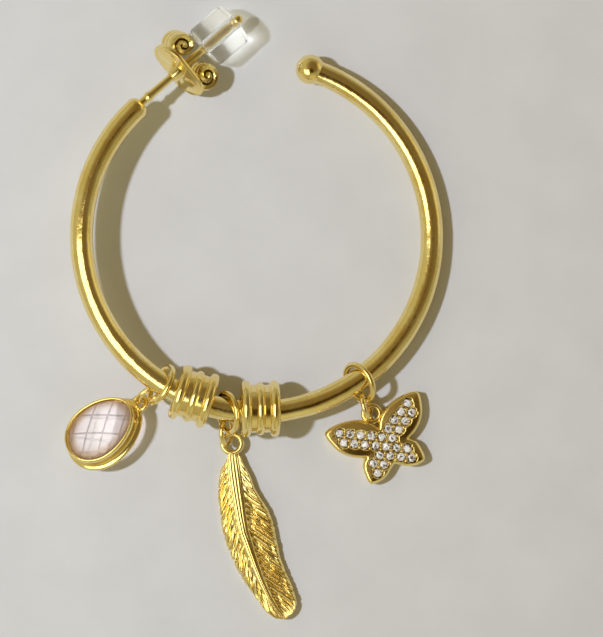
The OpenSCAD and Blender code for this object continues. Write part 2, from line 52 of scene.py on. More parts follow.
camera = bpy.data.objects.new("camera", camera_data)
bpy.context.collection.objects.link(camera)
camera.location = (4.43 * MM, -0.43 * MM, 230 * MM)
bpy.context.scene.camera = camera


def lamp(name, width, height, power, colour, place, aim):
    """A flat lamp that looks from its place towards a point; in mm."""
    data = bpy.data.lights.new(name, "AREA")
    data.shape = "RECTANGLE"
    data.size, data.size_y = width * MM, height * MM
    data.energy = power
    data.color = colour
    thing = bpy.data.objects.new(name, data)
    bpy.context.collection.objects.link(thing)
    thing.location = [x * MM for x in place]
    thing.rotation_euler = (Vector(aim) - Vector(place)).to_track_quat("-Z", "Y").to_euler()
    return thing


# the small lamp only lights, and the soft panel near the earring only shines in what is polished
small_lamp = lamp("small_lamp", 22, 22, 0.89, (0.765, 0.815, 0.945), (-186, 20, 296), (0, 0, 0))
small_lamp.visible_glossy = False
panel = lamp("panel", 68, 60, 0.033, (1.0, 0.96, 0.76), (-42, -19, 70), (-42, -19, 0))
panel.visible_diffuse = False
panel.visible_camera = False

room = bpy.data.worlds.new("room")
room.use_nodes = True
bpy.context.scene.world = room
nodes, links = room.node_tree.nodes, room.node_tree.links
look_way = nodes.new("ShaderNodeTexCoord")


def room_value(kind, a, b, c=None):
    """One sum of the room's brightness; a, b and c are numbers or another node's output."""
    sum_node = nodes.new("ShaderNodeMath")
    sum_node.operation = kind
    for socket, value in zip(sum_node.inputs, (a, b, c)):
        if isinstance(value, bpy.types.NodeSocket):
            links.new(value, socket)
        elif value is not None:
            socket.default_value = value
    return sum_node.outputs["Value"]


def towards(direction, edge, core):
    """1 in the core of a round patch of the room and 0 beyond its edge; both in degrees."""
    dot = nodes.new("ShaderNodeVectorMath")
    dot.operation = "DOT_PRODUCT"
    links.new(look_way.outputs["Generated"], dot.inputs[0])
    dot.inputs[1].default_value = Vector(direction).normalized()
    step = nodes.new("ShaderNodeMapRange")
    step.interpolation_type = "SMOOTHSTEP"
    step.inputs["From Min"].default_value = math.cos(math.radians(edge))
    step.inputs["From Max"].default_value = math.cos(math.radians(core))
    links.new(dot.outputs["Value"], step.inputs["Value"])
    return step.outputs["Result"]


# the room is paler on the left than on the right, has two pale low windows, and is darkened by
# the viewer and by what is above the earring, where its hue is deeper too
left_side = room_value("MULTIPLY_ADD", towards((-1, 0.1, 0.35), 86, 50), 0.14, 0.37)
far_window = room_value("MULTIPLY_ADD", towards((0.92, 0.33, 0.22), 26, 8), 0.40, left_side)
near_window = room_value("MULTIPLY_ADD", towards((0.25, -0.95, 0.30), 30, 8), 0.22, far_window)
viewer = room_value("MULTIPLY_ADD", towards((0.12, -0.30, 0.95), 24, 6), -0.8, 1.0)
above = room_value("MULTIPLY_ADD", towards((0.30, 0.28, 0.90), 58, 26), -0.5, 1.0)
dimming = room_value("MULTIPLY", viewer, above)
brightness = room_value("MULTIPLY", near_window, dimming)
hue = nodes.new("ShaderNodeValToRGB")
hue.color_ramp.elements[0].color = (1.0, 0.52, 0.08, 1)
hue.color_ramp.elements[1].color = (1.0, 0.92, 0.57, 1)
links.new(dimming, hue.inputs["Fac"])
links.new(hue.outputs["Color"], nodes["Background"].inputs["Color"])
links.new(brightness, nodes["Background"].inputs["Strength"])
bpy.context.scene.view_settings.view_transform = "Standard"


# The paper that the earring lies on: pale, matt and faintly mottled, with a fine fibre. It is the
# stage, and no part of the earring.
bpy.ops.mesh.primitive_plane_add(size=1200 * MM, location=(0, 0, 0))
paper = bpy.context.object
paper.name = "paper"
paper_finish = bpy.data.materials.new("paper")
paper_finish.use_nodes = True
nodes, links = paper_finish.node_tree.nodes, paper_finish.node_tree.links
place = nodes.new("ShaderNodeTexCoord")
mottle = nodes.new("ShaderNodeTexNoise")
mottle.inputs["Scale"].default_value = 140
mottle.inputs["Detail"].default_value = 4
tone = nodes.new("ShaderNodeValToRGB")
tone.color_ramp.elements[0].position = 0.3
tone.color_ramp.elements[0].color = (0.715, 0.715, 0.715, 1)
tone.color_ramp.elements[1].position = 0.75
tone.color_ramp.elements[1].color = (0.77, 0.77, 0.77, 1)
fibre = nodes.new("ShaderNodeTexNoise")
fibre.inputs["Scale"].default_value = 900
bump = nodes.new("ShaderNodeBump")
bump.inputs["Strength"].default_value = 0.15
bump.inputs["Distance"].default_value = 0.1 * MM
links.new(place.outputs["Object"], mottle.inputs["Vector"])
links.new(place.outputs["Object"], fibre.inputs["Vector"])
links.new(mottle.outputs["Fac"], tone.inputs["Fac"])
links.new(fibre.outputs["Fac"], bump.inputs["Height"])
links.new(tone.outputs["Color"], nodes["Principled BSDF"].inputs["Base Color"])
links.new(bump.outputs["Normal"], nodes["Principled BSDF"].inputs["Normal"])
nodes["Principled BSDF"].inputs["Roughness"].default_value = 0.75
nodes["Principled BSDF"].inputs["Specular IOR Level"].default_value = 0.3
paper.data.materials.append(paper_finish)


# The hoop: a round brass wire bent to most of a circle and gold plated, closed at one end by
# a ball and rounded off at the other, where the ear post is soldered on with a bead of solder.
def shift(x, y, z):
    """A move in mm."""
    return Matrix.Translation((x * MM, y * MM, z * MM))


def turn(degrees, axis):
    """A turn about one axis."""
    return Matrix.Rotation(math.radians(degrees), 4, axis)


HOOP_R, WIRE_R, BALL_R, END_ROUND = 16.9, 1.1, 1.425, 0.85
# in degrees: where the post is, how far the wire goes round, and how far it starts from the post
POST_END, HOOP_ARC, WIRE_BACK = 131.2, 301.3, 2.5
POST_OUT = 0.08
LEAN, LEAN_WAY = 4.6, 9.1
hoop_plane = (shift(0.22, 7.47, 2.4554) @ turn(LEAN_WAY, "Z") @ turn(LEAN, "Y")
              @ turn(-LEAN_WAY, "Z"))


def on_wire(angle):
    """The place on the hoop's wire: x outwards, y along the wire, z up."""
    return hoop_plane @ turn(angle, "Z") @ shift(HOOP_R, 0, 0)


def on_post(distance):
    """The place on the post's line: z along the post, away from the hoop."""
    return on_wire(POST_END) @ shift(POST_OUT, 0, 0) @ turn(90, "X") @ shift(0, 0, distance)


def select(piece):
    """Selects one piece and nothing else."""
    bpy.ops.object.select_all(action="DESELECT")
    piece.select_set(True)
    bpy.context.view_layer.objects.active = piece


def edit(piece):
    """Opens one piece in edit mode with all of it selected."""
    select(piece)
    bpy.ops.object.mode_set(mode="EDIT")
    bpy.ops.mesh.select_all(action="SELECT")


def pick(piece, kind, test):
    """Selects those verts, edges or faces of the open piece that pass a test, and no others."""
    bpy.ops.mesh.select_all(action="DESELECT")
    bm = bmesh.from_edit_mesh(piece.data)
    for item in getattr(bm, kind):
        item.select = test(item)
    if kind == "verts":
        bm.select_flush_mode()
    bmesh.update_edit_mesh(piece.data)


def closed_up(piece, weld=0.0008):
    """Welds what meets, turns every face outwards and leaves edit mode."""
    edit(piece)
    bpy.ops.mesh.remove_doubles(threshold=weld * MM)
    bpy.ops.mesh.normals_make_consistent(inside=False)
    bpy.ops.object.mode_set(mode="OBJECT")


def put(piece, where):
    """Carries a piece to its place, which then is in its mesh."""
    piece.matrix_world = where
    select(piece)
    bpy.ops.object.transform_apply()
    return piece


def joined(pieces):
    """Joins pieces into the first of them."""
    bpy.ops.object.select_all(action="DESELECT")
    for piece in pieces:
        piece.select_set(True)
    bpy.context.view_layer.objects.active = pieces[0]
    bpy.ops.object.join()
    return pieces[0]


def bevelled(piece, width, angle=35, segments=2):
    """Rounds the piece's sharp edges; width in mm."""
    bevel = piece.modifiers.new("round_edges", "BEVEL")
    bevel.width = width * MM
    bevel.segments = segments
    bevel.limit_method = "ANGLE"
    bevel.angle_limit = math.radians(angle)
    select(piece)
    bpy.ops.object.modifier_apply(modifier="round_edges")


def finished(piece, name, body, node, finish, crease=38):
    """Names a piece, gives it its finish, hangs it on its body and hides the solid it stands for.
    """
    piece.name = piece.data.name = name
    piece.data.materials.clear()
    piece.data.materials.append(finish)
    select(piece)
    if crease:
        bpy.ops.object.shade_smooth_by_angle(angle=math.radians(crease))
    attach(piece, body)
    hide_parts(node)


def draw_out(way):
    """Extrudes what is selected in the open piece."""
    bpy.ops.mesh.extrude_region_move(TRANSFORM_OT_translate={"value": way})


def turned(rows, sides):
    """A turned shape about Z: a circle drawn out and in, row by row of (radius, height) in mm.
    One whose rows end where they began is closed, as a ring is."""
    radius, height = rows[0]
    bpy.ops.object.select_all(action="DESELECT")
    bpy.ops.mesh.primitive_circle_add(vertices=sides, radius=radius * MM, location=(0, 0, 0))
    piece = bpy.context.object
    edit(piece)
    bpy.ops.transform.translate(value=(0, 0, height * MM))
    for (was_r, was_z), (r, z) in zip(rows, rows[1:]):
        draw_out((0, 0, (z - was_z) * MM))
        grow = r / was_r
        bpy.ops.transform.resize(value=(grow, grow, 1), center_override=(0, 0, z * MM))
    bpy.ops.object.mode_set(mode="OBJECT")
    closed_up(piece)
    return piece


def gold_finish(name, ripple, rough=0.14):
    """Polished yellow gold plating: faint ripples and pores from the polishing, and a plating
    that is a little deeper in places. ripple is the depth of the ripples in mm."""
    deep, bright = (0.91, 0.70, 0.25, 1), (0.98, 0.83, 0.40, 1)
    finish = bpy.data.materials.new(name)
    finish.use_nodes = True
    nodes, links = finish.node_tree.nodes, finish.node_tree.links
    metal = nodes["Principled BSDF"]
    metal.inputs["Metallic"].default_value = 1.0
    place = nodes.new("ShaderNodeTexCoord")
    cloud = nodes.new("ShaderNodeTexNoise")
    cloud.inputs["Scale"].default_value = 420
    cloud.inputs["Detail"].default_value = 3
    plating = nodes.new("ShaderNodeValToRGB")
    plating.color_ramp.elements[0].position = 0.3
    plating.color_ramp.elements[0].color = deep
    plating.color_ramp.elements[1].position = 0.7
    plating.color_ramp.elements[1].color = bright
    polish = nodes.new("ShaderNodeMapRange")
    polish.inputs["To Min"].default_value = rough * 0.7
    polish.inputs["To Max"].default_value = rough * 1.4
    waves = nodes.new("ShaderNodeTexNoise")
    waves.inputs["Scale"].default_value = 900
    waves.inputs["Detail"].default_value = 2
    pores = nodes.new("ShaderNodeTexNoise")
    pores.inputs["Scale"].default_value = 6000
    soft_bump = nodes.new("ShaderNodeBump")
    soft_bump.inputs["Strength"].default_value = 1.0
    soft_bump.inputs["Distance"].default_value = ripple * MM
    pore_bump = nodes.new("ShaderNodeBump")
    pore_bump.inputs["Strength"].default_value = 0.25
    pore_bump.inputs["Distance"].default_value = 0.01 * MM
    for texture in (cloud, waves, pores):
        links.new(place.outputs["Object"], texture.inputs["Vector"])
    links.new(cloud.outputs["Fac"], plating.inputs["Fac"])
    links.new(cloud.outputs["Fac"], polish.inputs["Value"])
    links.new(plating.outputs["Color"], metal.inputs["Base Color"])
    links.new(polish.outputs["Result"], metal.inputs["Roughness"])
    links.new(waves.outputs["Fac"], soft_bump.inputs["Height"])
    links.new(pores.outputs["Fac"], pore_bump.inputs["Height"])
    links.new(soft_bump.outputs["Normal"], pore_bump.inputs["Normal"])
    links.new(pore_bump.outputs["Normal"], metal.inputs["Normal"])
    return finish


hoop_gold = gold_finish("hoop_gold", ripple=0.035)
neck = math.sqrt(BALL_R ** 2 - WIRE_R ** 2)
sweep = HOOP_ARC - WIRE_BACK - math.degrees(neck / HOOP_R)
bpy.ops.object.select_all(action="DESELECT")
bpy.ops.mesh.primitive_circle_add(vertices=48, radius=WIRE_R * MM, location=(HOOP_R * MM, 0, 0),
                                  rotation=(math.pi / 2, 0, 0))
wire = bpy.context.object
bpy.ops.object.transform_apply()
edit(wire)
bpy.ops.mesh.spin(steps=200, angle=math.radians(sweep), center=(0, 0, 0), axis=(0, 0, -1))


def end_of_wire(at, along, rows):
    """Draws the wire's selected end out from its middle, row by row of (reach, radius) in mm,
    and closes it."""
    reach, r = rows[0]
    for new_reach, new_r in rows[1:]:
        draw_out(along * (new_reach - reach) * MM)
        at += along * (new_reach - reach)
        bpy.ops.transform.resize(value=(new_r / r,) * 3, center_override=at * MM)
        reach, r = new_reach, new_r
    bpy.ops.mesh.edge_face_add()


# the spun ring stays selected, and the ball is drawn out of it along the wire
end = math.radians(sweep)
first = -neck / BALL_R * 57.3
ball_angles = [math.radians(first + (90 - first) * k / 16) for k in range(1, 17)]
end_of_wire(Vector((math.cos(end), math.sin(end), 0)) * HOOP_R,
            Vector((-math.sin(end), math.cos(end), 0)),
            [(-neck, WIRE_R)] + [(BALL_R * math.sin(a), max(BALL_R * math.cos(a), 0.004))
                                 for a in ball_angles])
# the wire's first ring is drawn back and rounded off
pick(wire, "verts", lambda vertex: abs(vertex.co.y) < 1e-7 and vertex.co.x > 0)
bpy.ops.mesh.select_mode(type="EDGE")
flat_r = WIRE_R - END_ROUND
end_of_wire(Vector((HOOP_R, 0, 0)), Vector((0, -1, 0)),
            [(0.0, WIRE_R)] + [(END_ROUND * math.sin(a), flat_r + END_ROUND * math.cos(a))
                               for a in [math.radians(11.0 * k) for k in range(1, 9)]])
bpy.ops.mesh.select_mode(type="VERT")
bpy.ops.object.mode_set(mode="OBJECT")
closed_up(wire)
put(wire, hoop_plane @ turn(POST_END + WIRE_BACK, "Z"))

# the post's rows: foot, solder bead, shaft, groove and rounded tip
POST_R, TIP_R, POST_L = 0.4, 0.47, 12.8
SOLDER_R, SOLDER_AT = 0.5, 0.95
post_rows = [(0.001, -0.6), (POST_R, -0.6), (POST_R, 0.45)]
post_rows += [(math.sqrt(SOLDER_R ** 2 - x * x), SOLDER_AT + x)
              for x in (-0.28, -0.17, -0.06, 0.06, 0.17, 0.28)]
post_rows += [(POST_R, 1.45), (POST_R, 11.05), (0.38, 11.12), (0.31, 11.16), (0.3, 11.3),
              (0.31, 11.44), (0.40, 11.48), (0.455, 11.52), (TIP_R, 11.6),
              (TIP_R, POST_L - TIP_R)]
post_rows += [(max(TIP_R * math.cos(a), 0.001), POST_L - TIP_R + TIP_R * math.sin(a))
              for a in [math.radians(15 * k) for k in range(1, 7)]]
post = put(turned(post_rows, 32), on_post(0))
finished(joined([wire, post]), "gold_hoop", "earring", "hoop", hoop_gold, 30)


# The spacer beads: short turned tubes that the wire passes through, each with a thick round
# ridge at both ends, a finer ring round its middle and a dark valley on either side of it.
bead_gold = gold_finish("bead_gold", ripple=0.03)
BEAD_HALF, BORE_R, VALLEY_R = 1.85, 1.6, 2.3
# radius of the ridges' and of the middle ring's section, and how far out its middle is
RIDGE_R, RIDGE_MID, RING_R, RING_MID = 0.475, 2.25, 0.43, 2.12


def bead_outside(z):
    """Radius of the bead's outer face at a distance from its middle, in mm."""
    z = abs(z)
    from_ridge = min(abs(z - (BEAD_HALF - RIDGE_R)), RIDGE_R)
    ridge = RIDGE_MID + math.sqrt(RIDGE_R ** 2 - from_ridge ** 2)
    ring = RING_MID + math.sqrt(max(RING_R ** 2 - z * z, 0))
    return max(ridge, ring, VALLEY_R)


# just inside both ends, so that no two rows meet
reach = BEAD_HALF - 0.0005
bead_rows = [(RIDGE_MID, BEAD_HALF)]
bead_rows += [(bead_outside(z), z) for z in [reach - 2 * reach * k / 72 for k in range(73)]]
bead_rows += [(RIDGE_MID, -BEAD_HALF), (1.72, -BEAD_HALF), (1.63, -1.82), (BORE_R, -1.74),
              (BORE_R, 1.74), (1.63, 1.82), (1.72, BEAD_HALF), (RIDGE_MID, BEAD_HALF)]
for name, where in (
        ("spacer_bead_left", on_wire(248.2) @ shift(-0.33, 0, -0.15) @ turn(3.5, "Z")),
        ("spacer_bead_right", on_wire(270.7) @ shift(-0.33, 0, 0.26))):
    bead = put(turned(bead_rows, 80), where @ turn(90, "X"))
    finished(bead, name + "_gold", "earring", name, bead_gold)


# The rings and links: round wire bent into rings, each with a hairline cut where its ends
# meet. The larger ones go round the hoop, the smaller ones hold the charms.
chain_gold = gold_finish("chain_gold", ripple=0.02)


def wire_ring(outer, wire, cut=None):
    """A ring of round wire in mm, cut through at an angle if its ends aren't soldered."""
    bpy.ops.object.select_all(action="DESELECT")
    bpy.ops.mesh.primitive_torus_add(major_radius=(outer - wire) / 2 * MM,
                                     minor_radius=wire / 2 * MM,
                                     major_segments=160, minor_segments=20)
    ring = bpy.context.object
    if cut is None:
        return ring

    def at_cut(face):
        middle = face.calc_center_median()
        return abs(math.degrees(math.atan2(middle.y, middle.x)) - cut) < 1.2

    edit(ring)
    pick(ring, "faces", at_cut)
    bpy.ops.mesh.delete(type="FACE")
    bpy.ops.mesh.select_all(action="SELECT")
    bpy.ops.mesh.fill_holes(sides=0)
    bpy.ops.object.mode_set(mode="OBJECT")
    closed_up(ring)
    return ring


RING_D, RING_WIRE, LINK_D, LINK_WIRE = 4.3, 0.6, 2.9, 0.5
# each chain: angle on the hoop, yaw, lean, out and sag of the ring; place, direction and
# roll of the link
CHAINS = {
    "drop": (236.9, 4.0, 20.6, 0.10, 0.25, (-10.3057, -7.8304, 1.4167), 212.6, 25.1),
    "feather": (260.1, 17.9, 25.2, 0.31, 0.20, (-2.7776, -11.4008, 1.3845), 268.1, 24.2),
    "butterfly": (305.0, -10.1, 31.9, 0.27, -0.07, (10.7281, -8.8659, 1.4744), 285.7, 14.0),
}
for name, (angle, yaw, lean, out, sag, link_at, link_way, roll) in CHAINS.items():
    where = (on_wire(angle) @ shift(0, 0, -sag) @ turn(yaw, "Z") @ shift(out, 0, 0)
             @ turn(90 - lean, "X"))
    ring = put(wire_ring(RING_D, RING_WIRE, cut=-62), where)
    finished(ring, name + "_hoop_ring_gold", "earring", name + "_hoop_ring",
             chain_gold)
    where = shift(*link_at) @ turn(link_way, "Z") @ turn(90 + roll, "X")
    link = put(wire_ring(LINK_D, LINK_WIRE, cut=95), where)
    finished(link, name + "_link_gold", "earring", name + "_link", chain_gold)


# The drop charm's bezel: an egg-shaped wall of gold sheet whose rim is rolled over the stone,
# spreading towards its foot, with a soldered wire loop at its narrow end.
drop_place = shift(-11.1843, -8.6433, 1.0507) @ turn(219, "Z") @ turn(19, "X")
FROM_LOOP, ACROSS = 0.26, 0.15
# the rim's outline and width, how much wider its far end is, and how far the foot spreads
DROP_L, DROP_W, RIM, DROP_EGG, SPREAD = 7.55, 5.55, 0.45, 0.12, 0.36


def bent_grid(across, along, shape):
    """A grid whose points are carried to shape(u, v), u and v from 0 to 1; in mm."""
    bpy.ops.object.select_all(action="DESELECT")
    bpy.ops.mesh.primitive_grid_add(x_subdivisions=across, y_subdivisions=along, size=2)
    sheet = bpy.context.object
    for vertex in sheet.data.vertices:
        u, v = (vertex.co.x + 1) / 2, (vertex.co.y + 1) / 2
        vertex.co = Vector(shape(u, v)) * MM
    return sheet


def egg(way, inset):
    """A point of the drop's outline, drawn in by an inset; way is the angle round it."""
    half_l, half_w = DROP_L / 2 - inset, DROP_W / 2 - inset
    return (DROP_L / 2 - half_l * math.cos(way),
            half_w * math.sin(way) * (1 - DROP_EGG * math.cos(way)))


# the wall's section, as inset from the rim's outline and height: foot, wall, rolled rim, inside
bezel_rows = [(-SPREAD + 0.10, 0.0), (-SPREAD + 0.03, 0.03), (-SPREAD, 0.12),
              (-SPREAD + 0.01, 0.26), (-SPREAD + 0.05, 0.34), (-SPREAD + 0.13, 0.38)]
bezel_rows += [(-0.10, 0.42), (0.02, 0.48), (0.09, 0.58), (0.11, 0.8), (0.11, 1.4), (0.07, 1.65),
               (0.01, 1.8), (-0.005, 1.9)]
bezel_rows += [(RIM * (0.42 - 0.42 * math.cos(a)), 1.98 + 0.32 * math.sin(a))
               for a in [math.radians(18 * k) for k in range(1, 10)]]
bezel_rows += [(RIM * 0.88, 1.96), (RIM * 0.97, 1.85), (RIM, 1.7), (RIM, 0.3), (RIM * 0.9, 0.06),
               (RIM * 0.6, 0.0), (-SPREAD + 0.10, 0.0)]


def bezel_point(u, v):
    """u runs round the bezel, v round its section."""
    inset, height = bezel_rows[round(v * (len(bezel_rows) - 1))]
    x, y = egg(2 * math.pi * u, inset)
    return x, y, height


bezel = bent_grid(120, len(bezel_rows) - 1, bezel_point)
closed_up(bezel)
put(bezel, drop_place @ shift(FROM_LOOP + SPREAD, ACROSS, 0))
drop_loop = put(wire_ring(1.75, 0.45), drop_place @ shift(0, 0, 0.0733))
drop_gold = gold_finish("drop_gold", ripple=0.02)
finished(joined([bezel, drop_loop]), "drop_bezel_gold", "earring", "drop_bezel",
         drop_gold, 50)


# The drop's stone: a clear, faintly rose and slightly cloudy stone, ground to its egg-shaped
# outline and cut on both faces into a slanted net of flat facets, open to the light behind.
def clear_finish(name, tint, ior, rough, shade, milk, painted_edge_shade=None, cut_place=None):
    """Clear stone or plastic that light passes through. shade is the colour of its shadow, and
    milk the share of light that its body scatters. The drop's stone gets a painted shade along
    its facets' edges, a painted brightness on each facet, and near its rim a painted reflection
    of its gold wall; cut_place is its own place."""
    finish = bpy.data.materials.new(name)
    finish.use_nodes = True
    nodes, links = finish.node_tree.nodes, finish.node_tree.links
    clear = nodes["Principled BSDF"]
    clear.inputs["Transmission Weight"].default_value = 1.0
    clear.inputs["IOR"].default_value = ior
    place = nodes.new("ShaderNodeTexCoord")
    haze = nodes.new("ShaderNodeTexNoise")
    haze.inputs["Scale"].default_value = 700
    body = nodes.new("ShaderNodeValToRGB")
    body.color_ramp.elements[0].color = (*(painted_edge_shade or [x * 0.94 for x in tint]), 1)
    body.color_ramp.elements[1].color = (*tint, 1)
    polish = nodes.new("ShaderNodeMapRange")
    polish.inputs["To Min"].default_value = rough * 0.6
    polish.inputs["To Max"].default_value = rough * 1.4
    links.new(place.outputs["Object"], haze.inputs["Vector"])
    links.new(haze.outputs["Fac"], polish.inputs["Value"])
    links.new(polish.outputs["Result"], clear.inputs["Roughness"])
    tone = body.outputs["Color"]
    if cut_place is None:
        links.new(haze.outputs["Fac"], body.inputs["Fac"])
    else:
        # the stone's tone gives each facet its painted brightness and its ground edges a painted
        # shade
        facet = nodes.new("ShaderNodeAttribute")
        facet.attribute_name = "tone"
        links.new(facet.outputs["Fac"], body.inputs["Fac"])
        # near the rim the stone is painted towards brown: a painted reflection of its gold wall
        middle, way, _ = cut_place.decompose()
        own = nodes.new("ShaderNodeMapping")
        own.vector_type = "TEXTURE"
        own.inputs["Location"].default_value = middle
        own.inputs["Rotation"].default_value = way.to_euler()
        own.inputs["Scale"].default_value = ((DROP_L / 2 - RIM) * MM, (DROP_W / 2 - RIM) * MM, 1)
        from_middle = nodes.new("ShaderNodeVectorMath")
        from_middle.operation = "LENGTH"
        painted_reflection_near_rim = nodes.new("ShaderNodeMapRange")
        painted_reflection_near_rim.interpolation_type = "SMOOTHSTEP"
        painted_reflection_near_rim.inputs["From Min"].default_value = 0.66
        painted_reflection_near_rim.inputs["From Max"].default_value = 1.0
        painted_reflection_near_rim.inputs["To Max"].default_value = 0.9
        warm = nodes.new("ShaderNodeMix")
        warm.data_type = "RGBA"
        unreflected_colour, painted_reflection_colour = [x for x in warm.inputs if x.type == "RGBA"]
        painted_reflection_colour.default_value = (0.55, 0.37, 0.22, 1)
        links.new(place.outputs["Object"], own.inputs["Vector"])
        links.new(own.outputs["Vector"], from_middle.inputs[0])
        links.new(from_middle.outputs["Value"], painted_reflection_near_rim.inputs["Value"])
        links.new(painted_reflection_near_rim.outputs["Result"], warm.inputs["Factor"])
        links.new(body.outputs["Color"], unreflected_colour)
        tone = next(x for x in warm.outputs if x.type == "RGBA")
    links.new(tone, clear.inputs["Base Color"])
    through = nodes.new("ShaderNodeBsdfTransparent")
    through.inputs["Color"].default_value = (*shade, 1)
    path = nodes.new("ShaderNodeLightPath")
    mix = nodes.new("ShaderNodeMixShader")
    links.new(path.outputs["Is Shadow Ray"], mix.inputs[0])
    cloud = nodes.new("ShaderNodeBsdfDiffuse")
    links.new(tone, cloud.inputs["Color"])
    cloudy = nodes.new("ShaderNodeMixShader")
    cloudy.inputs[0].default_value = milk
    links.new(clear.outputs["BSDF"], cloudy.inputs[1])
    links.new(cloud.outputs["BSDF"], cloudy.inputs[2])
    links.new(cloudy.outputs["Shader"], mix.inputs[1])
    links.new(through.outputs["BSDF"], mix.inputs[2])
    links.new(mix.outputs["Shader"], nodes["Material Output"].inputs["Surface"])
    return finish


def give_painted_light(piece, painted_light_of):
    """Keeps a number for every face of a cut stone, by which its painted light varies: painted
    shade and brightness, or painted flashes. The faces are counted by their place, since the
    operators don't leave them in the same order each time."""
    faces = sorted(piece.data.polygons, key=lambda face: [round(x, 7) for x in face.center])
    values = [0.0] * len(faces)
    for k, face in enumerate(faces):
        values[face.index] = painted_light_of(k, face)
    painted_light_values = piece.data.attributes.new("tone", "FLOAT", "FACE")
    painted_light_values.data.foreach_set("value", values)


STONE_MIDDLE, STONE_HALF = Vector((FROM_LOOP + SPREAD + DROP_L / 2, ACROSS, 1.265)), 1.5
# steps of the facets' slanted net, in the drop's own plane, and the net's place at the middle
NET = ((-1.197, 1.024), (-1.464, -1.104))
NET_MIDDLE = (-0.413, -0.668)
bpy.ops.object.select_all(action="DESELECT")
bpy.ops.mesh.primitive_circle_add(vertices=72, radius=MM, fill_type="NGON")
stone = bpy.context.object
for vertex in stone.data.vertices:
    x, y = egg(math.atan2(vertex.co.y, vertex.co.x), RIM + 0.03)
    vertex.co = Vector((x - DROP_L / 2, y, -STONE_HALF - 0.5)) * MM
edit(stone)
# the blank is taller than the facets' domes, so that they are cut all over
draw_out((0, 0, (2 * STONE_HALF + 1) * MM))
(ax, ay), (bx, by) = NET
size = ax * by - ay * bx
for up, fall in ((1, 0.24), (-1, 0.42)):
    for i, j in itertools.product(range(-4, 4), repeat=2):
        # the facet's plane touches a shallow dome at the middle of its own cell
        di, dj = i + 0.5 - NET_MIDDLE[0], j + 0.5 - NET_MIDDLE[1]
        slope_x = -2 * fall * (di * by - dj * ay) / size
        slope_y = -2 * fall * (dj * ax - di * bx) / size
        height = STONE_HALF + fall * (di * di + dj * dj)
        bpy.ops.mesh.select_all(action="SELECT")
        bpy.ops.mesh.bisect(plane_co=(0, 0, up * height * MM), plane_no=(-slope_x, -slope_y, up),
                            use_fill=True, clear_outer=True, threshold=1e-7)
bpy.ops.object.mode_set(mode="OBJECT")
closed_up(stone, weld=0.004)
# every facet rises a hair within its ground edges; the edges get a painted shade, and each
# facet its own painted brightness
edit(stone)
pick(stone, "faces", lambda face: abs(face.normal.z) > 0.5)
bpy.ops.mesh.inset(thickness=0.095 * MM, depth=0.012 * MM, use_individual=True)
bpy.ops.object.mode_set(mode="OBJECT")
give_painted_light(stone, lambda k, face: (0.75 + 0.25 * abs(math.sin(2.6 * k))
                                   if face.area > 0.25 * MM ** 2 else 0.0))
stone_place = drop_place @ Matrix.Translation(STONE_MIDDLE * MM)
put(stone, stone_place)
rose = clear_finish("rose_stone", (1.0, 0.965, 0.96), 1.54, 0.02, (0.93, 0.88, 0.86), milk=0.36,
                    painted_edge_shade=(0.50, 0.46, 0.47), cut_place=stone_place)
finished(stone, "drop_stone_rose", "earring", "drop_stone", rose, 0)


# The feather charm: cast in one with its loop, its back flat. A rounded quill with fine lines
# runs down the vane, long barbs slant from its right side and short broken ones from its left.
feather_place = shift(-2.3071, -12.5415, 0) @ turn(286.6, "Z")
FEATHER_L, FEATHER_W = 17.7, 4.75
# share of the length, left edge, quill and right edge as shares of the width, quill's width
FEATHER_ROWS = np.array([
    (0.050, -0.13, -0.045, 0.05, 0.20),
    (0.080, -0.22, -0.07, 0.09, 0.24),
    (0.125, -0.39, -0.10, 0.11, 0.26),
    (0.200, -0.52, -0.145, 0.17, 0.26),
    (0.270, -0.60, -0.185, 0.18, 0.25),
    (0.330, -0.635, -0.215, 0.235, 0.24),
    (0.400, -0.685, -0.25, 0.315, 0.22),
    (0.485, -0.71, -0.28, 0.345, 0.20),
    (0.570, -0.70, -0.265, 0.313, 0.17),
    (0.680, -0.64, -0.245, 0.278, 0.14),
    (0.770, -0.555, -0.215, 0.305, 0.12),
    (0.860, -0.435, -0.165, 0.353, 0.10),
    (0.940, -0.315, -0.08, 0.340, 0.08),
    (0.970, -0.235, -0.03, 0.275, 0.07),
    (0.988, -0.165, -0.01, 0.185, 0.06),
    (1.000, -0.06, 0.0, 0.06, 0.04),
])
NECK = FEATHER_ROWS[0][0]
BARBS, SLANT = 22, 0.21
# heights of the quill and of the vane's two sides beside it
QUILL_Z, LEFT_Z, RIGHT_Z = 1.04, 1.0, 0.93


def scatter(k):
    """An irregular number from 0 to 1 for the k-th of many."""
    return (math.sin(12.9898 * k + 4.1) * 43758.5453) % 1


def smooth(x, low, high):
    """0 up to low, 1 from high on, and a soft step between them."""
    t = np.clip((x - low) / (high - low), 0, 1)
    return t * t * (3 - 2 * t)


